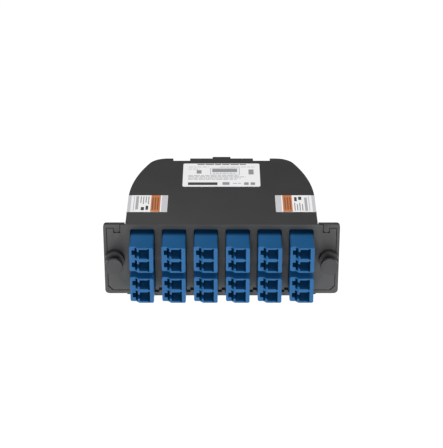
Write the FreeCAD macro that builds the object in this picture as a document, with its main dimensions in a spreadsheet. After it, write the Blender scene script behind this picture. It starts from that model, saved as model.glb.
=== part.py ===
import FreeCAD, Part
import math
import os
import re
import Sketcher

# A fibre cassette for a 1U patch frame: a low moulded housing with an ear at each end of its face,
# six columns of two duplex LC adapters in the face, and two multi-fibre sockets at the back.
# X runs to the right, Y to the back and Z up.  Every piece is drawn with Y = 0 on the front face
# and Z = 0 on the underside, then moved as one so that the origin is at the middle of the base.

# Driving dimensions, in millimetres.
DIMENSIONS = {
    # clearances and overlaps of the drawing
    "slack": (0.05, "gap between pieces that seat on each other"),
    "bond": (0.5, "how far a pad runs into what carries it"),
    "past": (1.0, "how far a cut runs past the material"),
    # housing
    "ear_span": (108.3, "width over both ears"),
    "shell_height": (36.95, "height of the housing"),
    "side_half": (44.0, "half width of the housing"),
    "bow_start": (28.0, "depth at which the sides start to bow in"),
    "bow_radius": (96.0, "radius of the bowed sides"),
    "corner_radius": (9.5, "radius of the rear corners"),
    "shell_rear": (73.3, "depth of the housing"),
    "notch_inner": (15.6, "inner side of each rear notch"),
    "notch_outer": (23.9, "outer side of each rear notch"),
    "notch_depth": (2.7, "depth of each rear notch"),
    "wall": (1.6, "thickness of walls, floor and top"),
    "split_height": (28.8, "height at which base and cover meet"),
    "lap": (0.75, "part of the wall outside the lapped joint"),
    "lap_height": (1.5, "height of the lapped joint"),
    "lap_gap": (0.1, "clearance in the lapped joint"),
    # ears
    "ear_lift": (1.2, "step from the underside up to the ears"),
    "ear_thick": (2.4, "thickness of an ear"),
    "ear_skin": (1.15, "thickness of the panel let into an ear"),
    "rim_width": (1.4, "width of the rim at the ear's end"),
    "rim_top": (1.7, "width of the rim at the ear's top"),
    "rim_bottom": (1.6, "width of the rim at the ear's foot"),
    "rim_cut": (2.2, "size of the cut corner of the rim"),
    "shoulder": (2.3, "width of the cover's shoulder beside the snap tab"),
    "shoulder_drop": (0.25, "step from the ear's top down to the shoulder"),
    "tab_width": (2.6, "width of the snap tab at the ear's top"),
    "tab_drop": (3.9, "length of the snap tab"),
    "tab_cut": (0.6, "size of the snap tab's cut corners"),
    "seam": (0.3, "gap along the seams of the face"),
    "ear_corner_top": (1.4, "radius of an ear's upper corner"),
    "ear_corner_foot": (2.0, "radius of an ear's lower corner"),
    # face
    "column_pitch": (14.56, "distance between adapter columns"),
    "column_shift": (0.12, "offset of the middle of the six columns"),
    "window_width": (11.2, "width of a column's window"),
    "window_top": (34.7, "height of the windows' upper edge"),
    "window_cut": (0.7, "size of the windows' cut upper corners"),
    "lip_half": (38.0, "half width of the front lip"),
    "lip_top": (1.8, "height of the front lip"),
    "tooth_width": (1.6, "width of a lip tooth"),
    "tooth_rise": (1.0, "height of a lip tooth"),
    "finger_foot": (3.3, "height of the fingers' lower ends"),
    "rib": (1.15, "thickness of the ribs behind the flanges"),
    "rib_reach": (2.0, "how far the ribs reach past the adapters' flanges"),
    # adapters
    "duplex_width": (10.8, "width of an adapter"),
    "duplex_height": (12.5, "height of an adapter"),
    "duplex_low": (10.48, "height of the lower adapters' axis"),
    "duplex_pitch": (15.65, "distance between two stacked adapters"),
    "duplex_cut": (0.5, "size of an adapter's cut long edges"),
    "port_pitch": (6.25, "distance between the two ports of an adapter"),
    "front_reach": (14.5, "how far the adapters stand out"),
    "latch_reach": (12.9, "how far their latch side stands out"),
    "latch_face": (2.6, "width of the set-back latch side"),
    "latch_slope": (1.5, "width of the slope beside it"),
    "inner_reach": (14.7, "how far the adapters reach in"),
    "port_size": (4.65, "side of the square port"),
    "port_edge": (1.75, "wall beside the port"),
    "port_depth": (11.4, "depth of the port"),
    "groove_width": (0.8, "width of the groove at the port's far side"),
    "groove_tall": (5.4, "height of that groove"),
    "neck_width": (0.9, "width of the neck between port and latch slot"),
    "neck_tall": (2.35, "height of the neck and of the latch recess"),
    "slot_width": (1.05, "width of the latch slot"),
    "slot_tall": (5.1, "height of the latch slot"),
    "recess_width": (1.4, "width of the latch recess"),
    "flange_width": (12.4, "width of an adapter's flange"),
    "flange_height": (15.2, "height of an adapter's flange"),
    "flange_front": (4.2, "front of the flange"),
    "flange_back": (5.75, "back of the flange"),
    "sleeve_radius": (0.8, "outside radius of an alignment sleeve"),
    "ferrule_radius": (0.625, "radius of an LC ferrule"),
    "sleeve_half": (5.7, "half length of an alignment sleeve"),
    # inner plugs
    "plug_size": (4.5, "side of an LC plug"),
    "plug_front": (7.3, "front of the plugs' housings"),
    "plug_back": (19.0, "back of the plugs' clip"),
    "clip_edge": (0.4, "thickness of the clip round both plugs"),
    "boot_side": (2.4, "side of the plugs' boots"),
    "boot_back": (29.0, "end of the boots"),
    # fasteners
    "knob_centre": (49.3, "distance of the fasteners from the middle"),
    "knob_height": (19.6, "height of the fasteners' axis"),
    "collar_radius": (4.55, "radius of a fastener's collar"),
    "collar_reach": (3.0, "how far the collar stands out"),
    "head_radius": (4.1, "radius of the plunger's head"),
    "head_back": (7.0, "back of the head when pulled out"),
    "head_front": (8.8, "front of the head when pulled out"),
    "shank_radius": (2.0, "radius of the plunger's shank"),
    "shank_end": (5.6, "end of the shank when pulled out"),
    "bore_gap": (0.08, "radial clearance of the shank"),
    "seat_radius": (3.4, "radius of the fastener in the ear"),
    "barrel_radius": (3.0, "radius of the barrel behind the ear"),
    "barrel_length": (2.1, "length of the barrel behind the ear"),
    "leg_radius": (2.8, "radius of the barrel's two legs"),
    "leg_length": (1.6, "length of the legs behind the barrel"),
    "nose_radius": (2.4, "radius of the legs' tapered tips"),
    "nose_length": (1.4, "length of the tapered tips"),
    "split_width": (0.8, "width of the split between the legs"),
    # rear sockets and latch
    "socket_centre": (19.75, "distance of the rear sockets from the middle"),
    "socket_height": (18.3, "height of the rear sockets' axis"),
    "socket_width": (8.2, "width of a rear socket"),
    "socket_tall": (12.6, "height of a rear socket"),
    "socket_mouth": (72.9, "mouth of a rear socket"),
    "socket_front": (53.0, "inner end of a rear socket"),
    "mouth_width": (6.9, "width of a socket's openings"),
    "mouth_tall": (9.9, "height of a socket's openings"),
    "mouth_depth": (8.5, "depth of a socket's outer opening"),
    "socket_web": (1.5, "thickness of the web between the openings"),
    "window_wide": (2.7, "width of the ferrule window in the web"),
    "window_tall": (6.8, "height of the ferrule window in the web"),
    "key_depth": (4.0, "depth of the keyway"),
    "key_half": (1.5, "half width of the keyway"),
    "socket_collar": (1.2, "how far a socket's collar stands out"),
    "collar_thick": (1.8, "thickness of a socket's collar"),
    "trunk_boot": (7.0, "length of a rear plug's boot"),
    "trunk_width": (3.6, "width of a rear plug's boot"),
    "trunk_tall": (6.0, "height of a rear plug's boot"),
    "hook_half": (4.45, "half width of the rear hook"),
    "rear_reach": (76.7, "back of the rear hook"),
    "hook_thick": (1.5, "thickness of the hook's arm"),
    "hook_foot": (16.0, "height of the hook's foot"),
    "hook_root": (2.5, "height of the root that carries the hook"),
    "hook_top": (36.6, "height of the hook's top"),
    "hook_nose": (1.9, "height of the hook's nose"),
    "hook_gap": (0.15, "gap between nose and housing"),
    "catch_reach": (0.9, "how far the cover's catch stands out"),
    # fibre inside
    "coil_centre": (20.0, "distance of the ribbon coils from the middle"),
    "coil_depth": (50.0, "depth of the coils' centres"),
    "coil_radius": (11.0, "outside radius of the coils"),
    "coil_width": (2.0, "width of the coiled ribbon"),
    "coil_height": (2.4, "height of the coiled ribbon"),
    "peg": (1.6, "side of the pegs round the coils"),
    "peg_height": (7.0, "height of the pegs"),
    "fan_centre": (33.0, "distance of the fan-out blocks from the middle"),
    "fan_depth": (33.0, "depth of the fan-out blocks"),
    "fan_width": (10.0, "width of a fan-out block"),
    "fan_length": (5.0, "length of a fan-out block"),
    "fan_height": (4.0, "height of a fan-out block"),
    "fan_neck_width": (7.0, "width of a fan-out block's ribbon end"),
    "fan_neck_height": (2.4, "height of a fan-out block's ribbon end"),
    "cradle_depth": (56.0, "depth of the rib under each rear socket"),
    # labels
    "label_thick": (0.12, "thickness of the labels"),
    "label_left": (-18.75, "left edge of the main label"),
    "label_right": (18.65, "right edge of the main label"),
    "label_front": (40.5, "front edge of the main label"),
    "label_back": (66.9, "back edge of the main label"),
    "label_corner": (1.0, "radius of the main label's corners"),
    "seal_inner": (25.3, "inner end of a side seal"),
    "seal_front": (13.1, "front edge of the side seals"),
    "seal_back": (30.7, "back edge of the side seals"),
    "seal_drop": (12.0, "length of the seals' folded end"),
}
SMALL_SIDES = 6     # sides that stand for the round of ferrules and small bores
TUBE_SIDES = 8      # sides that stand for the round of a sleeve
COIL_SIDES = 24     # sides that stand for the round of a ribbon coil
COLUMNS = 6

PAD = "PartDesign::Pad"
POCKET = "PartDesign::Pocket"

doc = FreeCAD.newDocument("fibre_cassette")
sheet = doc.addObject("Spreadsheet::Sheet", "Sheet")
for row, (alias, (value, meaning)) in enumerate(DIMENSIONS.items(), start=1):
    sheet.set(f"A{row}", "'" + meaning)
    sheet.set(f"B{row}", str(value))
    sheet.setAlias(f"B{row}", alias)
doc.recompute()
parts = []


# ---- expressions -------------------------------------------------------------------------------

def cells(expression):
    """Point each dimension's name in an expression to its cell."""
    def cell(word):
        return "Sheet." + word[0] if word[0] in DIMENSIONS else word[0]
    return re.sub(r"[a-z_]+", cell, str(expression))


def value_of(expression):
    return float(sheet.evalExpression(cells(expression)))


def bind(target, prop, expression):
    target.setExpression(prop, cells(expression))


# ---- sketches ----------------------------------------------------------------------------------

def tie(sketch, element, vertex, coordinates):
    """Fix one vertex of a sketch at two expressions, measured from the sketch's origin."""
    axes = (("DistanceX", -2), ("DistanceY", -1))
    for (kind, axis), expression in zip(axes, coordinates):
        number = value_of(expression)
        if abs(number) < 1e-9:
            sketch.addConstraint(Sketcher.Constraint("PointOnObject", element, vertex, axis))
            continue
        index = sketch.addConstraint(Sketcher.Constraint(kind, -1, 1, element, vertex, number))
        name = f"{kind}_{index}"
        sketch.renameConstraint(index, name)
        bind(sketch, "Constraints." + name, expression)


def tie_radius(sketch, element, expression):
    index = sketch.addConstraint(Sketcher.Constraint("Radius", element, value_of(expression)))
    name = f"Radius_{index}"
    sketch.renameConstraint(index, name)
    bind(sketch, "Constraints." + name, expression)


def arc_between(start, end, radius, turn):
    """The shorter arc from start to end; turn is 1 where it runs anticlockwise, -1 clockwise."""
    chord = end - start
    height = math.sqrt(radius ** 2 - chord.Length ** 2 / 4)
    sideways = FreeCAD.Vector(-chord.y, chord.x, 0).normalize() * height * turn
    centre = (start + end) / 2 + sideways
    first, last = (start, end) if turn > 0 else (end, start)
    angles = [math.atan2(point.y - centre.y, point.x - centre.x) for point in (first, last)]
    circle = Part.Circle(centre, FreeCAD.Vector(0, 0, 1), radius)
    return Part.ArcOfCircle(circle, angles[0], angles[1])


def draw_path(sketch, stops):
    """Draw a closed path.  A stop is (x, y), or (x, y, radius, turn) where an arc leads to it."""
    points = [FreeCAD.Vector(value_of(stop[0]), value_of(stop[1]), 0) for stop in stops]
    pieces = []
    for index, stop in enumerate(stops):
        start = points[index - 1]
        if len(stop) == 2:
            element = sketch.addGeometry(Part.LineSegment(start, points[index]))
            pieces.append((element, 1, 2))
            continue
        arc = arc_between(start, points[index], value_of(stop[2]), stop[3])
        element = sketch.addGeometry(arc)
        pieces.append((element, 1, 2) if stop[3] > 0 else (element, 2, 1))
    for index, (element, begin, finish) in enumerate(pieces):
        last_element, _, last_finish = pieces[index - 1]
        joint = Sketcher.Constraint("Coincident", last_element, last_finish, element, begin)
        sketch.addConstraint(joint)
        tie(sketch, element, finish, stops[index][:2])
        if len(stops[index]) > 2:
            tie_radius(sketch, element, stops[index][2])


def rounded(corners):
    """Stops for a path whose corners (x, y, radius) lie between level and upright edges."""
    count = len(corners)
    places = [(value_of(corner[0]), value_of(corner[1])) for corner in corners]
    stops = []
    for index, corner in enumerate(corners):
        if len(corner) == 2:
            stops.append(corner)
            continue
        x, y, radius = corner
        here, before, after = places[index], places[index - 1], places[(index + 1) % count]
        arriving = [here[k] - before[k] for k in (0, 1)]
        leaving = [after[k] - here[k] for k in (0, 1)]
        turn = 1 if arriving[0] * leaving[1] - arriving[1] * leaving[0] > 0 else -1
        stops.append(step_from(x, y, radius, [-part for part in arriving]))
        stops.append(step_from(x, y, radius, leaving) + (radius, turn))
    return stops


def step_from(x, y, radius, direction):
    """The point one radius away from a corner, along a level or upright direction."""
    if abs(direction[0]) > abs(direction[1]):
        return (f"({x}) {'+' if direction[0] > 0 else '-'} ({radius})", y)
    return (x, f"({y}) {'+' if direction[1] > 0 else '-'} ({radius})")


def rectangle(left, low, right, high, radius=None):
    corners = [(left, low), (right, low), (right, high), (left, high)]
    if radius is None:
        return corners
    return rounded([corner + (radius,) for corner in corners])


def centred(x, y, width, height, radius=None):
    half_width, half_height = f"({width}) / 2", f"({height}) / 2"
    return rectangle(f"({x}) - {half_width}", f"({y}) - {half_height}",
                     f"({x}) + {half_width}", f"({y}) + {half_height}", radius)


def mirrored(stops):
    """The same closed path seen in a mirror at X = 0, still run anticlockwise."""
    flipped = []
    for index in range(len(stops) - 1, -1, -1):
        after = stops[(index + 1) % len(stops)]
        flipped.append((f"-({stops[index][0]})", stops[index][1]) + tuple(after[2:]))
    return flipped


# ---- bodies and features -----------------------------------------------------------------------

def new_body(name, x="0", z="0"):
    body = doc.addObject("PartDesign::Body", name)
    body.Label = name
    bind(body, "Placement.Base.x", x)
    bind(body, "Placement.Base.y", "(front_reach - rear_reach) / 2")
    bind(body, "Placement.Base.z", z)
    parts.append(body)
    return body


def origin_feature(body, role):
    return next(item for item in body.Origin.OriginFeatures if item.Role == role)


def new_sketch(body, name, plane, offset="0"):
    """A sketch at a given X, Y or Z on one of the body's own origin planes."""
    sketch = body.newObject("Sketcher::SketchObject", name)
    sketch.AttachmentSupport = [(origin_feature(body, plane + "_Plane"), "")]
    sketch.MapMode = "FlatFace"
    bind(sketch, "AttachmentOffset.Base.z", f"-({offset})" if plane == "XZ" else offset)
    return sketch


def prism(body, kind, name, plane, start, end, *paths):
    """Pad or pocket closed paths, from start to end along the axis that the plane faces."""
    sketch = new_sketch(body, name + "_sketch", plane, start)
    for path in paths:
        draw_path(sketch, path)
    return extrude(body, kind, name, plane, sketch, f"({end}) - ({start})")


def extrude(body, kind, name, plane, sketch, length):
    feature = body.newObject(kind, name)
    feature.Profile = sketch
    bind(feature, "Length", length)
    # An XZ sketch faces -Y; a pad runs with its sketch's normal and a pocket against it.
    feature.Reversed = (kind == PAD) == (plane == "XZ")
    sketch.Visibility = False
    return feature


def round_prism(body, kind, name, plane, start, end, *circles):
    """Pad or pocket circles, each given as (x, y, radius)."""
    sketch = new_sketch(body, name + "_sketch", plane, start)
    for x, y, radius in circles:
        centre = FreeCAD.Vector(value_of(x), value_of(y), 0)
        circle = Part.Circle(centre, FreeCAD.Vector(0, 0, 1), value_of(radius))
        element = sketch.addGeometry(circle)
        tie(sketch, element, 3, (x, y))
        tie_radius(sketch, element, radius)
    return extrude(body, kind, name, plane, sketch, f"({end}) - ({start})")


def repeated(body, name, feature, axis, pitch, count):
    """Repeat a feature along an axis."""
    pattern = body.newObject("PartDesign::LinearPattern", name)
    pattern.Originals = [feature]
    pattern.Direction = (origin_feature(body, axis + "_Axis"), [""])
    bind(pattern, "Length", f"({pitch}) * {count - 1}")
    pattern.Occurrences = count
    body.Tip = pattern
    return pattern


def turned(body, name, path):
    """Revolve a profile of (distance along Y, radius) about the Y axis."""
    sketch = new_sketch(body, name + "_sketch", "YZ")
    draw_path(sketch, path)
    feature = body.newObject("PartDesign::Revolution", name)
    feature.Profile = sketch
    feature.ReferenceAxis = (sketch, ["H_Axis"])
    feature.Angle = 360
    sketch.Visibility = False
    return feature


def column_x(column):
    return f"column_shift + column_pitch * {column - (COLUMNS - 1) / 2}"


# ---- housing -----------------------------------------------------------------------------------

def shell_plan(front, inset="0"):
    """Plan of the housing: straight sides, bowed flanks, small rear corners, two rear notches."""
    inset = f"({inset})"
    side = f"(side_half - {inset})"
    rear = f"(shell_rear - {inset})"
    notch = f"(shell_rear - notch_depth - {inset})"
    inner, outer = f"(notch_inner - {inset})", f"(notch_outer + {inset})"
    bow, corner = f"(bow_radius - {inset})", f"(corner_radius - {inset})"
    # The corner's arc and the flank's arc touch on the line through their centres.
    between = "(bow_radius - corner_radius)"
    rise = "(shell_rear - corner_radius - bow_start)"
    reach = f"sqrt({between} ^ 2 - {rise} ^ 2)"
    hub = "(side_half - bow_radius)"
    touch_x = f"{hub} + {reach} * {bow} / {between}"
    touch_y = f"bow_start + {rise} * {bow} / {between}"
    corner_x = f"{hub} + {reach}"
    half = [(side, "bow_start"), (touch_x, touch_y, bow, 1), (corner_x, rear, corner, 1),
            (outer, rear), (outer, notch), (inner, notch), (inner, rear)]
    other = [(f"-({stop[0]})", stop[1]) + tuple(stop[2:]) for stop in half]
    back = [other[index][:2] + tuple(other[index + 1][2:] if index < 6 else ())
            for index in range(6, -1, -1)]
    return [(side, front)] + half + back + [(f"-{side}", front)]


def ear_path():
    """Left ear's plate, cut back beside the cover above the split."""
    edge = "-side_half - seam"
    inner = "-side_half + wall"
    return rounded([("-ear_span / 2", "ear_lift", "ear_corner_foot"), (inner, "ear_lift"),
                    (inner, "split_height"), (edge, "split_height"), (edge, "shell_height"),
                    ("-ear_span / 2", "shell_height", "ear_corner_top")])


def rim_path():
    """Left ear's raised rim: foot, cut corner, end, top and the snap tab."""
    edge = "-side_half - shoulder - seam"
    tab = f"{edge} - tab_width"
    end = "-ear_span / 2 + rim_width"
    foot = "ear_lift + rim_bottom"
    top = "shell_height - rim_top"
    under = "shell_height - tab_drop"
    return rounded([("-ear_span / 2", "ear_lift", "ear_corner_foot"), ("-lip_half", "ear_lift"),
                    ("-lip_half", foot), (f"{end} + rim_cut", foot), (end, f"{foot} + rim_cut"),
                    (end, top), (tab, top), (tab, f"{under} + tab_cut"), (f"{tab} + tab_cut", under),
                    (f"{edge} - tab_cut", under), (edge, f"{under} + tab_cut"),
                    (edge, "shell_height"), ("-ear_span / 2", "shell_height", "ear_corner_top")])


def rest_height():
    """Top of the rib that the lower adapters' flanges stand on."""
    return "duplex_low - flange_height / 2 - slack"


def base_tray():
    body = new_body("base_tray")
    plate = "ear_skin + slack"
    prism(body, PAD, "shell", "XY", "0", "split_height", shell_plan(plate))
    prism(body, PAD, "tongue", "XY", "split_height - bond", "split_height + lap_height",
          shell_plan("flange_back + past", "lap + lap_gap"))
    prism(body, POCKET, "hollow", "XY", "wall", "split_height + lap_height + past",
          shell_plan("-past", "wall"))
    prism(body, PAD, "ears", "XZ", plate, "ear_thick", ear_path(), mirrored(ear_path()))
    prism(body, PAD, "rims", "XZ", "0", "ear_thick", rim_path(), mirrored(rim_path()))
    prism(body, PAD, "lip", "XZ", "0", "ear_thick", rectangle("-lip_half", "0", "lip_half", "lip_top"))
    middle = "column_shift - 2 * column_pitch"
    tooth = prism(body, PAD, "tooth", "XZ", "0", "ear_thick",
                  rectangle(middle, "lip_top - bond", f"{middle} + tooth_width",
                            "lip_top + tooth_rise"))
    repeated(body, "teeth", tooth, "X", "column_pitch", COLUMNS - 1)
    side = "side_half - wall + bond"
    prism(body, PAD, "adapter_rest", "XZ", "flange_front - rib / 2", "flange_back + rib",
          rectangle(f"-({side})", "wall - bond", side, rest_height()))
    prism(body, PAD, "adapter_stop", "XZ", "flange_back + slack", "flange_back + rib",
          rectangle(f"-({side})", "wall - bond", side, f"{rest_height()} + rib_reach / 2"))
    relief = f"flange_width / 2 + column_pitch * {(COLUMNS - 1) / 2} + column_shift + slack"
    prism(body, POCKET, "flange_relief", "XZ", "flange_front - slack", "flange_back + slack",
          rectangle(f"-({relief})", rest_height(), relief, "split_height + past"))
    round_prism(body, POCKET, "fastener_holes", "XZ", "-past", "ear_thick + past", *fastener_holes())
    rear = "shell_rear - notch_depth"
    prism(body, POCKET, "socket_windows", "XZ", f"{rear} - wall - past", f"{rear} + past",
          *[centred(f"{side} * socket_centre", "socket_height", "socket_width + 2 * slack",
                    "socket_tall + 2 * slack") for side in (-1, 1)])
    prism(body, PAD, "hook", "YZ", "-hook_half", "hook_half", hook_path())
    reach = "coil_radius + peg / 2 + slack"
    prism(body, PAD, "pegs", "XY", "wall - bond", "wall + peg_height",
          *[centred(f"{side} * coil_centre + {x} * ({reach})", f"coil_depth + {y} * ({reach})",
                    "peg", "peg") for side in (-1, 1) for x, y in ((1, 0), (0, 1), (-1, 0), (0, -1))])
    prism(body, PAD, "cradles", "XZ", "cradle_depth", "cradle_depth + wall",
          *[rectangle(f"{side} * socket_centre - socket_width / 2", "wall - bond",
                      f"{side} * socket_centre + socket_width / 2",
                      "socket_height - socket_tall / 2") for side in (-1, 1)])
    return body


def fastener_holes():
    return [(f"{side} * knob_centre", "knob_height", "seat_radius + slack") for side in (-1, 1)]


def hook_path():
    """Side view of the rear hook: a springy arm that stands off the wall and holds the cover."""
    arm = "rear_reach - hook_thick"
    nose = "shell_rear + hook_gap"
    root = "shell_rear - bond"
    edge = "hook_thick / 2"
    return [(root, "hook_foot"), (arm, "hook_foot"), ("rear_reach", "hook_foot + hook_thick"),
            ("rear_reach", f"hook_top - {edge}"), (f"rear_reach - {edge}", "hook_top"),
            (nose, "hook_top"), (nose, "hook_top - hook_nose"), (arm, "hook_top - hook_nose"),
            (arm, "hook_foot + hook_root"), (root, "hook_foot + hook_root")]


def skin_path():
    """Face of the cover: the panels let into both ears and the strip that joins them."""
    end = "ear_span / 2 - rim_width - seam"
    foot = "ear_lift + rim_bottom + seam"
    inner = "side_half + shoulder"
    outer = f"{inner} + seam + tab_width + seam"
    under_tab = "shell_height - tab_drop - seam"
    top = "shell_height - rim_top - seam"
    right = [(f"{end} - rim_cut", foot), (end, f"{foot} + rim_cut"), (end, top), (outer, top),
             (outer, under_tab), (inner, under_tab), (inner, "shell_height - shoulder_drop")]
    return right + [(f"-({x})", y) for x, y in reversed(right)]


def cover():
    body = new_body("cover")
    prism(body, PAD, "shell", "XY", "split_height", "shell_height", shell_plan("0"))
    prism(body, POCKET, "hollow", "XY", "split_height - past", "shell_height - wall",
          shell_plan("ear_thick", "wall"))
    prism(body, POCKET, "rebate", "XY", "split_height - past", "split_height + lap_height + lap_gap",
          shell_plan("flange_back", "lap"))
    prism(body, PAD, "skin", "XZ", "0", "ear_skin", skin_path())
    side = "side_half - wall - lap_gap"
    prism(body, PAD, "fascia", "XZ", "0", "flange_front - slack",
          rectangle(f"-({side})", "finger_foot", side, "shell_height - bond"))
    first, half = column_x(0), "window_width / 2"
    through = "flange_front + past / 2"
    window = prism(body, POCKET, "window", "XZ", "-past", through,
                   [(f"{first} - {half}", "0"), (f"{first} + {half}", "0"),
                    (f"{first} + {half}", "window_top - window_cut"),
                    (f"{first} + {half} - window_cut", "window_top"),
                    (f"{first} - {half} + window_cut", "window_top"),
                    (f"{first} - {half}", "window_top - window_cut")])
    repeated(body, "windows", window, "X", "column_pitch", COLUMNS)
    middle = "column_shift - 2 * column_pitch"
    step = prism(body, POCKET, "finger_step", "XZ", "-past", through,
                 rectangle(f"{middle} - lap_gap", "0", f"{middle} + 2 * tooth_width",
                           "finger_foot + tooth_rise"))
    repeated(body, "finger_steps", step, "X", "column_pitch", COLUMNS - 1)
    upper = "duplex_low + duplex_pitch"
    relief = f"flange_width / 2 + column_pitch * {(COLUMNS - 1) / 2} + column_shift + slack"
    prism(body, POCKET, "flange_relief", "XZ", "flange_front - slack", "flange_back + slack",
          rectangle(f"-({relief})", "split_height - past", relief,
                    f"{upper} + flange_height / 2 + slack"))
    round_prism(body, POCKET, "fastener_holes", "XZ", "-past", "ear_skin + past", *fastener_holes())
    prism(body, PAD, "adapter_stop", "XZ", "flange_back + slack", "flange_back + rib",
          rectangle(f"-({side})", f"{upper} + duplex_height / 2 + slack", side, "shell_height - bond"))
    under = "hook_top - hook_nose - lap_gap"
    prism(body, PAD, "catch", "YZ", "-hook_half + lap_gap", "hook_half - lap_gap",
          [("shell_rear - bond", f"{under} - 2 * catch_reach"),
           ("shell_rear + catch_reach", f"{under} - catch_reach"),
           ("shell_rear + catch_reach", under), ("shell_rear - bond", under)])
    return body


# ---- adapters and what is in them --------------------------------------------------------------

def port_path():
    """The lower LC port from the front: square port with its groove, neck, latch slot and recess."""
    height = "-port_pitch / 2"
    right = "duplex_width / 2 - port_edge"
    groove = f"{right} - groove_width"
    left = f"{right} - port_size"
    slot = f"{left} - neck_width"
    recess = f"{slot} - slot_width"
    end = f"{recess} - recess_width"
    steps = [(end, "neck_tall / 2"), (recess, "neck_tall / 2"), (recess, "slot_tall / 2"),
             (slot, "slot_tall / 2"), (slot, "neck_tall / 2"), (left, "neck_tall / 2"),
             (left, "port_size / 2"), (groove, "port_size / 2"), (groove, "groove_tall / 2"),
             (right, "groove_tall / 2")]
    lower = [(x, f"{height} - {half}") for x, half in steps]
    upper = [(x, f"{height} + {half}") for x, half in reversed(steps)]
    return lower + upper


def small_round(x, y, radius):
    """Regular polygon that stands for a small circle, with its corners on that circle."""
    turns = [2 * math.pi * (k + 0.5) / SMALL_SIDES for k in range(SMALL_SIDES)]
    return [(f"({x}) + ({radius}) * {math.cos(turn):.6f}",
             f"({y}) + ({radius}) * {math.sin(turn):.6f}") for turn in turns]


PORTS = ("port_pitch / 2", "-port_pitch / 2")
PORT_X = "duplex_width / 2 - port_edge - port_size / 2"


def lc_adapter(name, x, z):
    """Duplex LC adapter with its two ports one above the other and the latches to the left."""
    body = new_body(name, x, z)
    left, right = "-duplex_width / 2", "duplex_width / 2"
    low, high = "-duplex_height / 2", "duplex_height / 2"
    section = [(f"{left} + duplex_cut", low), (f"{right} - duplex_cut", low),
               (right, f"{low} + duplex_cut"), (right, f"{high} - duplex_cut"),
               (f"{right} - duplex_cut", high), (f"{left} + duplex_cut", high),
               (left, f"{high} - duplex_cut"), (left, f"{low} + duplex_cut")]
    prism(body, PAD, "block", "XZ", "-front_reach", "inner_reach", section)
    slope = f"{left} + latch_face"
    prism(body, POCKET, "latch_step", "XY", f"{low} - past", f"{high} + past",
          [(f"{left} - past", "-latch_reach"), (slope, "-latch_reach"),
           (f"{slope} + latch_slope", "-front_reach"), (f"{slope} + latch_slope", "-front_reach - past"),
           (f"{left} - past", "-front_reach - past")])
    prism(body, PAD, "flange", "XZ", "flange_front", "flange_back",
          centred("0", "0", "flange_width", "flange_height"))
    port = prism(body, POCKET, "front_port", "XZ", "-front_reach - past",
                 "-front_reach + port_depth", port_path())
    repeated(body, "front_ports", port, "Z", "port_pitch", 2)
    prism(body, POCKET, "inner_ports", "XZ", "inner_reach - port_depth", "inner_reach + past",
          *[centred(PORT_X, port, "port_size", "port_size") for port in PORTS])
    prism(body, POCKET, "sleeve_bores", "XZ", "-front_reach + port_depth - past",
          "inner_reach - port_depth + past",
          *[small_round(PORT_X, port, "sleeve_radius + 3 * slack") for port in PORTS])
    return body


def alignment_sleeves(name, x, z):
    """The two ceramic sleeves of one adapter, each a thin tube."""
    tubes = []
    for number, port in enumerate(PORTS, start=1):
        tube = doc.addObject("Part::Cut", f"{name}_tube_{number}")
        tube.Base = rod(f"{name}_wall_{number}", port, "sleeve_radius", "sleeve_half")
        tube.Tool = rod(f"{name}_bore_{number}", port, "ferrule_radius + slack", "sleeve_half + past")
        tubes.append(tube)
    return fused(name, tubes, x, z)


def upright_rod(name, sides, radius, length):
    item = doc.addObject("Part::Prism", name)
    item.Polygon = sides
    bind(item, "Circumradius", radius)
    bind(item, "Height", length)
    return item


def rod(name, height, radius, half_length):
    """Rod along Y through the middle of a port."""
    item = upright_rod(name, TUBE_SIDES, radius, f"2 * ({half_length})")
    item.Placement.Rotation = FreeCAD.Rotation(FreeCAD.Vector(1, 0, 0), -90)
    bind(item, "Placement.Base.x", PORT_X)
    bind(item, "Placement.Base.y", f"-({half_length})")
    bind(item, "Placement.Base.z", height)
    return item


def inner_plugs(name, x, z):
    """The duplex LC plug inside: two housings with ferrules and boots, held by one clip."""
    body = new_body(name, x, z)
    prism(body, PAD, "housings", "XZ", "plug_front", "inner_reach + past + bond",
          *[centred(PORT_X, port, "plug_size", "plug_size") for port in PORTS])
    prism(body, PAD, "ferrules", "XZ", "slack", "plug_front + bond",
          *[small_round(PORT_X, port, "ferrule_radius - slack / 2") for port in PORTS])
    prism(body, PAD, "clip", "XZ", "inner_reach + past", "plug_back",
          centred(PORT_X, "0", "plug_size + 2 * clip_edge", "port_pitch + plug_size + 2 * clip_edge"))
    prism(body, PAD, "boots", "XZ", "plug_back - bond", "boot_back",
          *[centred(PORT_X, port, "boot_side", "boot_side") for port in PORTS])
    return body


# ---- fasteners ---------------------------------------------------------------------------------

def grommet(name, x):
    """Fixed half of a fastener: collar, barrel through the ear and two legs to be spread."""
    body = new_body(name, x, "knob_height")
    bore = "shank_radius + bore_gap"
    legs = "ear_thick + barrel_length"
    taper = f"{legs} + leg_length"
    tip = f"{taper} + nose_length"
    front = "-slack / 2"
    turned(body, "turned", [
        ("-collar_reach", bore), (tip, bore), (tip, "nose_radius"), (taper, "leg_radius"),
        (legs, "leg_radius"), (legs, "barrel_radius"), ("ear_thick", "barrel_radius"),
        ("ear_thick", "seat_radius"), (front, "seat_radius"), (front, "collar_radius"),
        ("-collar_reach", "collar_radius")])
    prism(body, POCKET, "split", "XZ", f"{legs} + slack", f"{tip} + past",
          centred("0", "0", "split_width", "4 * barrel_radius"))
    return body


def plunger(name, x):
    """Sliding half of a fastener: head and shank, drawn in the pulled-out place."""
    body = new_body(name, x, "knob_height")
    turned(body, "turned", [
        ("-head_front", "0"), ("shank_end", "0"), ("shank_end", "shank_radius"),
        ("-head_back", "shank_radius"), ("-head_back", "head_radius"), ("-head_front", "head_radius")])
    return body


# ---- rear sockets and fibre --------------------------------------------------------------------

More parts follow.
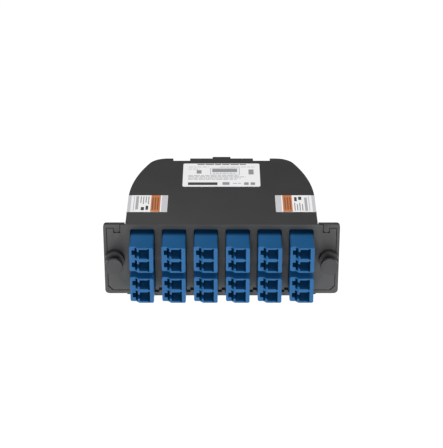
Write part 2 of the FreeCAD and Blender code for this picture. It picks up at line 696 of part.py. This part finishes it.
def rear_socket(name, side):
    """Upright multi-fibre adapter: mouth in the rear notch, collar against the inside wall."""
    body = new_body(name, f"{side} * socket_centre", "socket_height")
    wall_face = "shell_rear - notch_depth - wall"
    web_back = "socket_mouth - mouth_depth"
    web_front = f"{web_back} - socket_web"
    mouth = centred("0", "0", "mouth_width", "mouth_tall")
    prism(body, PAD, "sleeve", "XZ", "socket_front", "socket_mouth",
          centred("0", "0", "socket_width", "socket_tall"))
    prism(body, PAD, "collar", "XZ", f"{wall_face} - collar_thick", wall_face,
          centred("0", "0", "socket_width + 2 * socket_collar", "socket_tall + 2 * socket_collar"))
    prism(body, POCKET, "mouth", "XZ", web_back, "socket_mouth + past", mouth)
    prism(body, POCKET, "inner_mouth", "XZ", "socket_front - past", web_front, mouth)
    prism(body, POCKET, "ferrule_window", "XZ", f"{web_front} - past", f"{web_back} + past",
          centred("0", "0", "window_wide", "window_tall"))
    prism(body, POCKET, "keyway", "XZ", "socket_mouth - key_depth", "socket_mouth + past",
          rectangle(f"{-side} * mouth_width / 2 + {side} * bond", "-key_half",
                    f"{-side} * (socket_width / 2 + past)", "key_half"))
    return body


def block(name, x, start, end, z, width, height):
    """A box centred on x and z that runs from start to end along Y."""
    box = doc.addObject("Part::Box", name)
    bind(box, "Length", width)
    bind(box, "Width", f"({end}) - ({start})")
    bind(box, "Height", height)
    bind(box, "Placement.Base.x", f"({x}) - ({width}) / 2")
    bind(box, "Placement.Base.y", start)
    bind(box, "Placement.Base.z", f"({z}) - ({height}) / 2")
    return box


def fused(name, pieces, x, z):
    item = doc.addObject("Part::MultiFuse", name)
    item.Shapes = pieces
    return placed(item, name, x, z)


def placed(item, name, x, z):
    """Name a finished solid as a piece of its own and move it to its place."""
    item.Label = name
    bind(item, "Placement.Base.x", x)
    bind(item, "Placement.Base.y", "(front_reach - rear_reach) / 2")
    bind(item, "Placement.Base.z", z)
    parts.append(item)
    return item


def rear_plug(name, side):
    """Multi-fibre plug inside a rear socket, with its ferrule in the web's window."""
    web_front = "socket_mouth - mouth_depth - socket_web"
    boot = "socket_front - trunk_boot"
    pieces = [block(name + "_housing", "0", boot, f"{web_front} - slack", "0",
                    "mouth_width - 4 * slack", "mouth_tall - 4 * slack"),
              block(name + "_ferrule", "0", f"{web_front} - bond", f"{web_front} + socket_web", "0",
                    "window_wide - 4 * slack", "window_tall - 4 * slack"),
              block(name + "_boot", "0", f"{boot} - trunk_boot", f"{boot} + bond", "0",
                    "trunk_width", "trunk_tall")]
    return fused(name, pieces, f"{side} * socket_centre", "socket_height")


def fan_out(name, side):
    """Block on the floor in which a ribbon parts into single fibres."""
    nose = "fan_depth - fan_length / 2"
    pieces = [block(name + "_block", "0", nose, "fan_depth + fan_length / 2", "fan_height / 2",
                    "fan_width", "fan_height"),
              block(name + "_nose", "0", f"{nose} - past", f"{nose} + bond", "fan_height / 2",
                    "fan_neck_width", "fan_neck_height")]
    return fused(name, pieces, f"{side} * fan_centre", "wall")


def fibre_coil(name, side):
    """Slack of one ribbon, lying on the floor between four pegs."""
    ring = doc.addObject("Part::Cut", name)
    ring.Base = upright_rod(name + "_disc", COIL_SIDES, "coil_radius", "coil_height")
    ring.Tool = upright_rod(name + "_hole", COIL_SIDES, "coil_radius - coil_width",
                            "coil_height + past")
    for item, start in ((ring.Base, "0"), (ring.Tool, "-past / 2")):
        bind(item, "Placement.Base.y", "coil_depth")
        bind(item, "Placement.Base.z", start)
    return placed(ring, name, f"{side} * coil_centre", "wall")


# ---- labels ------------------------------------------------------------------------------------

def main_label():
    body = new_body("main_label")
    prism(body, PAD, "sheet", "XY", "shell_height", "shell_height + label_thick",
          rectangle("label_left", "label_front", "label_right", "label_back", "label_corner"))
    return body


def side_seal(name, side):
    """Seal that folds over the edge of the cover onto the side of the base."""
    body = new_body(name)
    outer = "side_half + label_thick"
    top = "shell_height + label_thick"
    low = "shell_height - seal_drop"
    path = [("seal_inner", "shell_height"), ("side_half", "shell_height"), ("side_half", low),
            (outer, low), (outer, top), ("seal_inner", top)]
    if side < 0:
        path = mirrored(path)
    prism(body, PAD, "sheet", "XZ", "seal_front", "seal_back", path)
    return body


# ---- whole cassette ----------------------------------------------------------------------------

def build_adapters():
    for tier, height in (("lower", "duplex_low"), ("upper", "duplex_low + duplex_pitch")):
        for column in range(COLUMNS):
            place = f"{tier}_{column + 1}"
            lc_adapter("lc_adapter_" + place, column_x(column), height)
            alignment_sleeves("alignment_sleeves_" + place, column_x(column), height)
            inner_plugs("inner_plugs_" + place, column_x(column), height)


def build_sides():
    for name, side in (("left", -1), ("right", 1)):
        grommet("grommet_" + name, f"{side} * knob_centre")
        plunger("plunger_" + name, f"{side} * knob_centre")
        rear_socket("rear_socket_" + name, side)
        rear_plug("rear_plug_" + name, side)
        fan_out("fan_out_" + name, side)
        fibre_coil("fibre_coil_" + name, side)
        side_seal("side_seal_" + name, side)


def check_document():
    """Stop if any object failed, any part is empty or bad, or any feature changed nothing."""
    for item in doc.Objects:
        if "Invalid" in item.State or "Error" in item.State:
            raise RuntimeError(f"{item.Label} failed: {item.State}")
        base = getattr(item, "BaseFeature", None)
        if base is not None and abs(item.Shape.Volume - base.Shape.Volume) < 1e-6:
            raise RuntimeError(f"{item.Label} changes nothing")
    for part in parts:
        if part.Shape.isNull() or not part.Shape.isValid():
            raise RuntimeError(f"{part.Label} has no valid shape")


def export_parts():
    os.makedirs("parts", exist_ok=True)
    for part in parts:
        part.Shape.exportStep(f"parts/{part.Label}.step")
        print(f"{part.Label}: {len(part.Shape.Solids)} solid, {part.Shape.Volume:.1f} mm3")


base_tray()
cover()
build_adapters()
build_sides()
main_label()
doc.recompute()
check_document()
export_parts()
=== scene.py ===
import math
import bmesh
import bpy
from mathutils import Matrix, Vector


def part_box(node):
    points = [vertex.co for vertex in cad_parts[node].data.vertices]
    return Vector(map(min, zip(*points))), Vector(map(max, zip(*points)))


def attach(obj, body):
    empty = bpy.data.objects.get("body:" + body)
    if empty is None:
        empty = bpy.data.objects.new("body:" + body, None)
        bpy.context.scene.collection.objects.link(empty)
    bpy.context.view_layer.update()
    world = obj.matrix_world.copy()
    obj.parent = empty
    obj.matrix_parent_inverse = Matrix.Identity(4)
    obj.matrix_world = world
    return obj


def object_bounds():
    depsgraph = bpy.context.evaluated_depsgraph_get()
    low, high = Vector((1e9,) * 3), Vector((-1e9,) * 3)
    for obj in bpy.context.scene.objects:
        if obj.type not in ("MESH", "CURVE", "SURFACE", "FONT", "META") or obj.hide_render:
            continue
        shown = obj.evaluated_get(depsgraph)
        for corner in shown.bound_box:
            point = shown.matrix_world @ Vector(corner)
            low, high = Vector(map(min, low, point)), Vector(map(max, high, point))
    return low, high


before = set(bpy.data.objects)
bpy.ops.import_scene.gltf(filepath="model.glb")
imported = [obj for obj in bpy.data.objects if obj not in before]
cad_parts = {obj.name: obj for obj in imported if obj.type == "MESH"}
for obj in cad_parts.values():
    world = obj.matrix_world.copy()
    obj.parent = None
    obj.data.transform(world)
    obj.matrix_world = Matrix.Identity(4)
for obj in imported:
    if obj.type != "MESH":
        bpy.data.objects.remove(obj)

cad_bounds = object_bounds()

# ---- sizes, in metres --------------------------------------------------------------------------

MM = 0.001
UNDERSIDE_Z = cad_bounds[0][2]
FACE_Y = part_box("cover")[0].y
TOP_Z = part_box("cover")[1].z
ADAPTERS = sorted(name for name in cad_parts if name.startswith("lc_adapter"))
SIDES = ("left", "right")

# The view: its height above level, its distance from the top edge of the face, and its lens.
VIEW_TILT = math.radians(26.7)
VIEW_DISTANCE = 726.5 * MM
VIEW_TARGET = Vector((-0.02 * MM, FACE_Y, TOP_Z + 0.36 * MM))
VIEW_LENS = 128.0

# Width of the rounding on the sharp edges of each kind of piece.
HOUSING_EDGE = 0.32 * MM
ADAPTER_EDGE = 0.14 * MM
FASTENER_EDGE = 0.1 * MM
SOCKET_EDGE = 0.12 * MM


# ---- nodes of a material -----------------------------------------------------------------------

NOISE_LOW, NOISE_HIGH = 0.3, 0.7        # most values of a noise lie between these
WALLED_IN, OPEN_SKY = 0.15, 0.85        # shares of free sky at which the painted corner shade is darkest and at which there is none
SKY_RAYS = 8                            # rays that look for free sky from a point


def new_material(name):
    """A material with its node tree and its Principled shader."""
    material = bpy.data.materials.new(name)
    material.use_nodes = True
    tree = material.node_tree
    tree.nodes.clear()
    shader = tree.nodes.new("ShaderNodeBsdfPrincipled")
    output = tree.nodes.new("ShaderNodeOutputMaterial")
    tree.links.new(shader.outputs["BSDF"], output.inputs["Surface"])
    return material, tree, shader


def place(tree):
    """Coordinates in the object's own frame."""
    return tree.nodes.new("ShaderNodeTexCoord").outputs["Object"]


def noise(tree, scale, detail, roughness=0.5):
    """Noise whose grains measure about 1 / scale metres."""
    texture = tree.nodes.new("ShaderNodeTexNoise")
    texture.inputs["Scale"].default_value = scale
    texture.inputs["Detail"].default_value = detail
    texture.inputs["Roughness"].default_value = roughness
    tree.links.new(place(tree), texture.inputs["Vector"])
    return texture.outputs["Fac"]


def blend_colours(tree, grain, dark, light):
    """Colour that runs from dark to light with a noise."""
    ramp = tree.nodes.new("ShaderNodeValToRGB")
    first, last = ramp.color_ramp.elements
    first.position = NOISE_LOW
    first.color = (*dark, 1)
    last.position = NOISE_HIGH
    last.color = (*light, 1)
    tree.links.new(grain, ramp.inputs["Fac"])
    return ramp.outputs["Color"]


def remap(tree, value, start, end, low, high):
    """Number that runs from low to high as value runs from start to end."""
    scale = tree.nodes.new("ShaderNodeMapRange")
    scale.inputs["From Min"].default_value = start
    scale.inputs["From Max"].default_value = end
    scale.inputs["To Min"].default_value = low
    scale.inputs["To Max"].default_value = high
    tree.links.new(value, scale.inputs["Value"])
    return scale.outputs["Result"]


def dim(tree, colour, level):
    """Colour times a level."""
    shade = tree.nodes.new("ShaderNodeVectorMath")
    shade.operation = "SCALE"
    tree.links.new(colour, shade.inputs[0])
    tree.links.new(level, shade.inputs["Scale"])
    return shade.outputs["Vector"]


def painted_corner_shade(tree, colour, reach, darkest, own_walls=False):
    """Painted shade: colour that sinks towards darkest of itself where walls stand within reach."""
    sky = tree.nodes.new("ShaderNodeAmbientOcclusion")
    sky.samples = SKY_RAYS
    sky.only_local = own_walls
    sky.inputs["Distance"].default_value = reach
    return dim(tree, colour, remap(tree, sky.outputs["AO"], WALLED_IN, OPEN_SKY, darkest, 1.0))


def painted_root_shade(tree, colour, start, end, darkest):
    """Painted shade at a piece's root: colour that sinks towards darkest of itself as Y runs from start
    to end.
    """
    axes = tree.nodes.new("ShaderNodeSeparateXYZ")
    tree.links.new(place(tree), axes.inputs["Vector"])
    return dim(tree, colour, remap(tree, axes.outputs["Y"], start, end, 1.0, darkest))


def add_surface(tree, shader, grain, smoothest, roughest, depth, strength):
    """Roughness and bump that follow a noise."""
    roughness = remap(tree, grain, NOISE_LOW, NOISE_HIGH, smoothest, roughest)
    tree.links.new(roughness, shader.inputs["Roughness"])
    bump = tree.nodes.new("ShaderNodeBump")
    bump.inputs["Distance"].default_value = depth
    bump.inputs["Strength"].default_value = strength
    tree.links.new(grain, bump.inputs["Height"])
    tree.links.new(bump.outputs["Normal"], shader.inputs["Normal"])


def linear(red, green, blue):
    """Linear colour of an 8-bit sRGB colour."""
    def channel(level):
        level = level / 255
        return level / 12.92 if level <= 0.04045 else ((level + 0.055) / 1.055) ** 2.4
    return channel(red), channel(green), channel(blue)


def scaled(colour, factor):
    """Colour times a factor."""
    return tuple(part * factor for part in colour)


# ---- plastics ----------------------------------------------------------------------------------

FLOW_MARKS = 60                 # noise scale of the flow marks in a moulding
ROUGHNESS_SWING = 0.06          # how far a plastic's roughness swings to either side


def moulded_plastic(name, colour, roughness, grain, depth, variation=0.05, sheen=0.4,
                    corners=None, root=None):
    """Moulded plastic: even colour with faint flow marks and a fine eroded surface.

    grain is the noise scale of that surface and depth its relief.  corners and root hold the
    arguments of painted_corner_shade and painted_root_shade, where the plastic has that painted shade.
    """
    material, tree, shader = new_material(name)
    flow = noise(tree, FLOW_MARKS, detail=3)
    tone = blend_colours(tree, flow, scaled(colour, 1 - variation), scaled(colour, 1 + variation))
    # painted shade in the corners, where corners is given
    if corners:
        tone = painted_corner_shade(tree, tone, **corners)
    # painted shade at the root, where root is given
    if root:
        tone = painted_root_shade(tree, tone, **root)
    tree.links.new(tone, shader.inputs["Base Color"])
    shader.inputs["Specular IOR Level"].default_value = sheen
    fine = noise(tree, grain, detail=4, roughness=0.6)
    add_surface(tree, shader, fine, roughness - ROUGHNESS_SWING, roughness + ROUGHNESS_SWING,
                depth, strength=0.5)
    return material


# painted shade darkens the housing's seams and corners
housing_plastic = moulded_plastic("housing_plastic", linear(60, 60, 60), 0.55, 3500, 0.02 * MM,
                                  corners={"reach": 1.1 * MM, "darkest": 0.12})
# painted shade darkens the adapters inside their ports and at their root by the face
adapter_plastic = moulded_plastic("adapter_plastic", linear(26, 85, 133), 0.42, 1800, 0.01 * MM,
                                  sheen=0.2,
                                  corners={"reach": 5 * MM, "darkest": 0.5, "own_walls": True},
                                  root={"start": FACE_Y - 2.2 * MM, "end": FACE_Y - 0.4 * MM,
                                        "darkest": 0.42})
# painted shade darkens the fastener round its neck and in its corners
fastener_nylon = moulded_plastic("fastener_nylon", linear(46, 46, 48), 0.5, 1500, 0.01 * MM,
                                 corners={"reach": 8 * MM, "darkest": 0.1})
socket_plastic = moulded_plastic("socket_plastic", linear(38, 38, 39), 0.4, 1800, 0.01 * MM)
ceramic = moulded_plastic("ceramic", linear(225, 224, 216), 0.2, 900, 0.002 * MM, variation=0.02)
fibre_jacket = moulded_plastic("fibre_jacket", linear(60, 170, 170), 0.35, 1200, 0.01 * MM)


# ---- label film and inks -----------------------------------------------------------------------

def label_film(name, colour, painted_glow=0.0):
    """Printed label stock: a soft sheen, a faint paper tooth and a faint painted glow of white light.
    """
    material, tree, shader = new_material(name)
    mottle = noise(tree, 400, detail=3)
    tone = blend_colours(tree, mottle, scaled(colour, 0.98), colour)
    tree.links.new(tone, shader.inputs["Base Color"])
    # painted glow: the film gives off a little white light of its own
    shader.inputs["Emission Color"].default_value = (1, 1, 1, 1)
    shader.inputs["Emission Strength"].default_value = painted_glow
    tooth = noise(tree, 5000, detail=3, roughness=0.6)
    add_surface(tree, shader, tooth, smoothest=0.42, roughest=0.52, depth=0.004 * MM, strength=0.4)
    return material


# the white film's glow is painted light that lightens the label
white_film = label_film("white_film", linear(250, 250, 250), painted_glow=0.07)
grey_ink = label_film("grey_ink", linear(160, 161, 165))
pale_ink = label_film("pale_ink", linear(184, 186, 190))
dark_ink = label_film("dark_ink", linear(72, 72, 74))
orange_ink = label_film("orange_ink", linear(216, 130, 78))
brown_ink = label_film("brown_ink", linear(138, 92, 68))
silver_ink = label_film("silver_ink", linear(217, 217, 222))


# ---- pieces from the frame ---------------------------------------------------------------------

WELD_GAP = 0.002 * MM                   # corners nearer than this are one
FLAT_ANGLE = math.radians(0.6)          # facets that meet flatter than this are one face
SHARP_ANGLE = math.radians(40)          # edges sharper than this are rounded


def finish(node, material, edge=0.0):
    """Give a CAD node its material and, where edge is set, round its sharp edges as a mould does."""
    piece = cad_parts[node]
    piece.data.materials.clear()
    piece.data.materials.append(material)
    if not edge:
        return
    weld = piece.modifiers.new("weld", "WELD")
    weld.merge_threshold = WELD_GAP
    flatten = piece.modifiers.new("flatten", "DECIMATE")
    flatten.decimate_type = "DISSOLVE"
    flatten.angle_limit = FLAT_ANGLE
    bevel = piece.modifiers.new("edges", "BEVEL")
    bevel.width = edge
    bevel.segments = 2
    bevel.limit_method = "ANGLE"
    bevel.angle_limit = SHARP_ANGLE
    bevel.harden_normals = True
    piece.data.shade_smooth()


finish("base_tray", housing_plastic, HOUSING_EDGE)
finish("cover", housing_plastic, HOUSING_EDGE)
for adapter in ADAPTERS:
    finish(adapter, adapter_plastic, ADAPTER_EDGE)
for side in SIDES:
    finish("grommet_" + side, fastener_nylon, FASTENER_EDGE)
    finish("plunger_" + side, fastener_nylon, FASTENER_EDGE)
    finish("rear_socket_" + side, socket_plastic, SOCKET_EDGE)
    finish("rear_plug_" + side, socket_plastic)
    finish("fan_out_" + side, socket_plastic)
    finish("fibre_coil_" + side, fibre_jacket)
    finish("side_seal_" + side, white_film)
finish("main_label", white_film)
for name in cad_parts:
    if name.startswith("alignment_sleeves"):
        finish(name, ceramic)
    if name.startswith("inner_plugs"):
        finish(name, adapter_plastic)


# ---- print on the labels, in millimetres -------------------------------------------------------

INK = 0.01 * MM         # thickness of a layer of ink, in metres
WORD_GAP = 0.45         # between two dashes of a line
LINE_PITCH = 1.4        # between the lines of the small paragraph
FRAME_LINE = 0.3        # width of the plain frame's line
MARK_PITCH = 1.2        # between the marks of a row on a side seal
LABEL_MARGIN = 2.6      # between the main label's left edge and its print


def link(thing):
    """Put a new object in the scene."""
    bpy.context.scene.collection.objects.link(thing)
    return thing


def print_patches(name, patches, material, height):
    """Thin rectangles of ink (left, front, right, back), in metres, with their undersides at height."""
    form = bmesh.new()
    for left, front, right, back in patches:
        corners = [(left, front), (right, front), (right, back), (left, back)]
        lower = [form.verts.new((x, y, height)) for x, y in corners]
        upper = [form.verts.new((x, y, height + INK)) for x, y in corners]
        form.faces.new(upper)
        form.faces.new(lower[::-1])
        for index in range(4):
            after = (index + 1) % 4
            form.faces.new((lower[index], lower[after], upper[after], upper[index]))
    mesh = bpy.data.meshes.new(name)
    form.to_mesh(mesh)
    form.free()
    mesh.materials.append(material)
    piece = link(bpy.data.objects.new(name, mesh))
    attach(piece, "cassette")


def add_print(name, label, patches, material, layer=0):
    """Lay patches, measured from the label's front left corner, on a label or its first ink."""
    low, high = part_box(label)
    moved = [(low.x + left * MM, low.y + front * MM, low.x + right * MM, low.y + back * MM)
             for left, front, right, back in patches]
    print_patches(name, moved, material, high.z + layer * INK)


def print_row(left, right, middle, tall, words):
    """One line of print from left to right: plain dashes whose lengths follow words in turn."""
    patches = []
    start, index = left, 0
    while start < right:
        end = min(start + words[index % len(words)], right)
        patches.append((start, middle - tall / 2, end, middle + tall / 2))
        start, index = end + WORD_GAP, index + 1
    return patches


def outline(left, front, right, back):
    """A plain frame of four strips."""
    inner_left, inner_front = left + FRAME_LINE, front + FRAME_LINE
    inner_right, inner_back = right - FRAME_LINE, back - FRAME_LINE
    return [(left, front, right, inner_front), (left, inner_back, right, back),
            (left, inner_front, inner_left, inner_back),
            (inner_right, inner_front, right, inner_back)]


def main_label_print():
    """A heading, rows of small print, a frame, grey fields and a dark bar, all plain."""
    heading = print_row(6.9, 30.9, 25.3, 0.9, (3.6, 4.2, 3.0))
    small_rows = [(LABEL_MARGIN, 12.4, 22.3, 0.6, (2.2, 1.4, 1.8)),
                  (18.0, 35.0, 22.3, 0.6, (2.6, 1.6)),
                  (LABEL_MARGIN, 8.0, 19.9, 0.6, (1.8, 2.4)),
                  (14.6, 26.0, 14.9, 0.7, (1.0, 1.4))]
    paragraph = [(27.4, (2.2, 3.0, 1.6)), (30.4, (2.8, 1.8)), (28.2, (1.6, 2.6, 2.0)),
                 (26.0, (2.4, 1.8, 3.0))]
    small_rows += [(LABEL_MARGIN, end, 12.3 - LINE_PITCH * k, 0.7, words)
                   for k, (end, words) in enumerate(paragraph)]
    small_rows.append((24.2, 28.6, 3.4, 0.8, (1.9, 1.6)))
    small_print = [patch for row in small_rows for patch in print_row(*row)]
    fields = [(14.2, 16.3, 26.4, 20.3), (6.6, 14.6, 9.0, 18.6), (31.9, 13.6, 34.4, 19.4),
              (19.2, 1.8, 22.6, 4.8), (29.6, 1.7, 31.8, 4.6), (32.7, 1.7, 34.9, 4.6)]
    bar = (LABEL_MARGIN, 1.6, 16.8, 4.6)
    add_print("main_label_heading", "main_label", heading, dark_ink)
    add_print("main_label_small_print", "main_label", small_print, pale_ink)
    add_print("main_label_frame", "main_label", outline(13.2, 13.6, 27.6, 21.2), pale_ink)
    add_print("main_label_fields", "main_label", fields, grey_ink)
    add_print("main_label_bars", "main_label", [bar], dark_ink)


def seal_print(side):
    """Bands and plain marks of a side seal, placed by their distance from the cassette's middle.

    The right seal carries the same print as the left one, turned half round.
    """
    label = "side_seal_" + side
    low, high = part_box(label)
    edge = low.x / MM
    back = (high.y - low.y) / MM

    def bands(name, strips, material, layer=0):
        """Lay strips, each given as (inner, front, outer, rear) of the left seal."""
        if side == "left":
            moved = [(-outer - edge, front, -inner - edge, rear)
                     for inner, front, outer, rear in strips]
        else:
            moved = [(inner - edge, back - rear, outer - edge, back - front)
                     for inner, front, outer, rear in strips]
        add_print(f"{label}_{name}", label, moved, material, layer)

    rows = [(29.5 + MARK_PITCH * k, 2.2, 30.1 + MARK_PITCH * k, back - 2.4) for k in range(3)]
    columns = [(34.0 + MARK_PITCH * k, back - 9.5 + 1.3 * (k % 2), 34.5 + MARK_PITCH * k, back - 1.2)
               for k in range(4)]
    bands("end_band", [(25.4, 0, 28.1, back)], silver_ink)
    bands("colour_band", [(28.7, 0, 33.1, back)], orange_ink)
    bands("colour_rows", rows, brown_ink, layer=1)
    bands("columns", columns, grey_ink)
    bands("mark", [(34.2, 2.0, 35.4, 6.4), (36.1, 1.6, 37.6, 5.0)], dark_ink)
    bands("mottled_band", [(38.9, 2.4, 40.2, back - 1.0), (40.9, 1.0, 41.2, back - 1.0)], pale_ink)
    bands("edge_band", [(42.4, 0, 43.9, back)], silver_ink)


main_label_print()
for side in SIDES:
    seal_print(side)


# ---- stage -------------------------------------------------------------------------------------

FLOOR_HALF = 3.0                # half the floor's side, in metres
FLOOR_GAP = 0.02 * MM           # between the floor and the underside
FLOOR_GREY = 0.8                # the floor's own colour
TABLE_GLOW = 1.2                # light that the floor gives of its own, like a lit table
FLOOR_WHITE = 1.02              # strength of the plain white that the camera sees on the floor
WHITE_SHARE = 0.93              # share of that white: the rest shows the object's soft shadow
SURROUNDINGS = 0.1              # light that comes from all round
BACKGROUND = 1.0                # strength at which the camera sees what is past the floor


def add_camera():
    """Camera that looks along the view's tilt at its target."""
    data = bpy.data.cameras.new("camera")
    data.lens = VIEW_LENS
    data.clip_start = 10 * MM
    camera = link(bpy.data.objects.new("camera", data))
    away = Vector((0, -math.cos(VIEW_TILT), math.sin(VIEW_TILT)))
    camera.location = VIEW_TARGET + away * VIEW_DISTANCE
    camera.rotation_euler = (math.pi / 2 - VIEW_TILT, 0, 0)
    bpy.context.scene.camera = camera


def white_light(tree, kind, strength):
    """A shader of the given kind that gives off plain white."""
    light = tree.nodes.new(kind)
    light.inputs["Color"].default_value = (1, 1, 1, 1)
    light.inputs["Strength"].default_value = strength
    return light.outputs[0]


def add_output(tree, kind, lit, seen, share=1.0):
    """End a tree in the shader lit, with a share of the shader seen over it for the camera."""
    path = tree.nodes.new("ShaderNodeLightPath")
    part = tree.nodes.new("ShaderNodeMath")
    part.operation = "MULTIPLY"
    part.inputs[1].default_value = share
    mix = tree.nodes.new("ShaderNodeMixShader")
    output = tree.nodes.new(kind)
    tree.links.new(path.outputs["Is Camera Ray"], part.inputs[0])
    tree.links.new(part.outputs[0], mix.inputs["Fac"])
    tree.links.new(lit, mix.inputs[1])
    tree.links.new(seen, mix.inputs[2])
    tree.links.new(mix.outputs["Shader"], output.inputs["Surface"])


def floor_material():
    """White to the camera apart from the object's soft shadow."""
    material = bpy.data.materials.new("floor_white")
    material.use_nodes = True
    tree = material.node_tree
    tree.nodes.clear()
    diffuse = tree.nodes.new("ShaderNodeBsdfDiffuse")
    diffuse.inputs["Color"].default_value = (FLOOR_GREY, FLOOR_GREY, FLOOR_GREY, 1)
    table = tree.nodes.new("ShaderNodeAddShader")
    tree.links.new(diffuse.outputs["BSDF"], table.inputs[0])
    tree.links.new(white_light(tree, "ShaderNodeEmission", TABLE_GLOW), table.inputs[1])
    seen = white_light(tree, "ShaderNodeEmission", FLOOR_WHITE)
    add_output(tree, "ShaderNodeOutputMaterial", table.outputs["Shader"], seen, WHITE_SHARE)
    return material


def add_floor():
    """Square floor just under the cassette."""
    mesh = bpy.data.meshes.new("floor")
    corners = [(-FLOOR_HALF, -FLOOR_HALF), (FLOOR_HALF, -FLOOR_HALF),
               (FLOOR_HALF, FLOOR_HALF), (-FLOOR_HALF, FLOOR_HALF)]
    mesh.from_pydata([(x, y, UNDERSIDE_Z - FLOOR_GAP) for x, y in corners], [], [(0, 1, 2, 3)])
    mesh.materials.append(floor_material())
    link(bpy.data.objects.new("floor", mesh))


def add_world():
    """Even grey surroundings that the camera sees as white."""
    world = bpy.data.worlds.new("studio")
    bpy.context.scene.world = world
    world.use_nodes = True
    tree = world.node_tree
    tree.nodes.clear()
    around = white_light(tree, "ShaderNodeBackground", SURROUNDINGS)
    seen = white_light(tree, "ShaderNodeBackground", BACKGROUND)
    add_output(tree, "ShaderNodeOutputWorld", around, seen)


def add_lamp(name, position, size, power):
    """Square soft box aimed at the middle of the cassette."""
    data = bpy.data.lights.new(name, "AREA")
    data.shape = "SQUARE"
    data.size = size
    data.energy = power
    lamp = link(bpy.data.objects.new(name, data))
    lamp.location = position
    aim = Vector((0, 0, TOP_Z / 2)) - Vector(position)
    lamp.rotation_euler = aim.to_track_quat("-Z", "Y").to_euler()


add_camera()
add_floor()
add_world()
add_lamp("front_lamp", position=(-0.1, -1.25, 0.5), size=0.35, power=9.6)
add_lamp("top_lamp", position=(0.2, -0.1, 1.4), size=1.2, power=14)
bpy.context.scene.view_settings.view_transform = "Standard"
